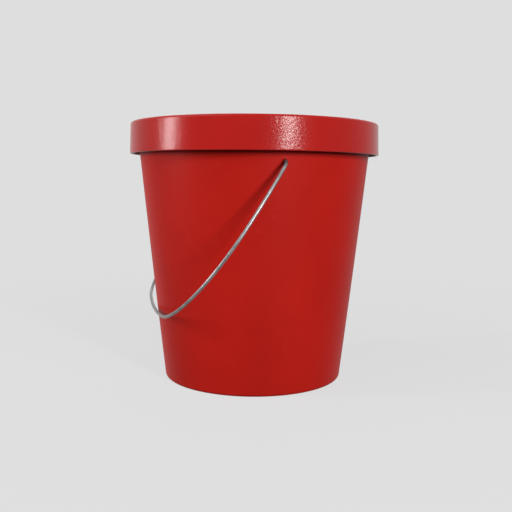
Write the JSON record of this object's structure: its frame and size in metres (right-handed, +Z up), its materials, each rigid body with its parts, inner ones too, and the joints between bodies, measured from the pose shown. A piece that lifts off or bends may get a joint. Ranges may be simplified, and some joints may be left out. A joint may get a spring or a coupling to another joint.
{
  "type": "plastic bucket",
  "caption": "Tapered round plastic bucket with a deep push-on lid and a galvanised wire bail hooked into holes below the lid.",
  "frame": {"origin": "on the bucket's axis, on the surface that its foot stands on", "axes": "+Z up along the bucket's axis; +Y along the handle's pivot axis; the handle hangs towards -X"},
  "size_m": [0.28, 0.3226, 0.2869],
  "materials": {
    "bucket_plastic": "red polypropylene, moulded, soft sheen",
    "lid_plastic": "red polypropylene, moulded, glossier than the bucket",
    "galvanised_wire": "zinc-coated drawn wire, slightly dull"
  },
  "bodies": {
    "bucket": {"bucket_body": "bucket_plastic"},
    "lid": {"lid": "lid_plastic"},
    "handle": {"wire_handle": "galvanised_wire"}
  },
  "joints": [
    {"name": "handle_swing", "type": "hinge", "parent": "bucket", "child": "handle", "pos_m": [0, 0, 0.24264], "axis": [0, 1, 0], "range_deg": [0, 289.5]},
    {"name": "lid_lift", "type": "slide", "parent": "bucket", "child": "lid", "axis": [0, 0, 1], "range_m": [0, 0.06]}
  ]
}
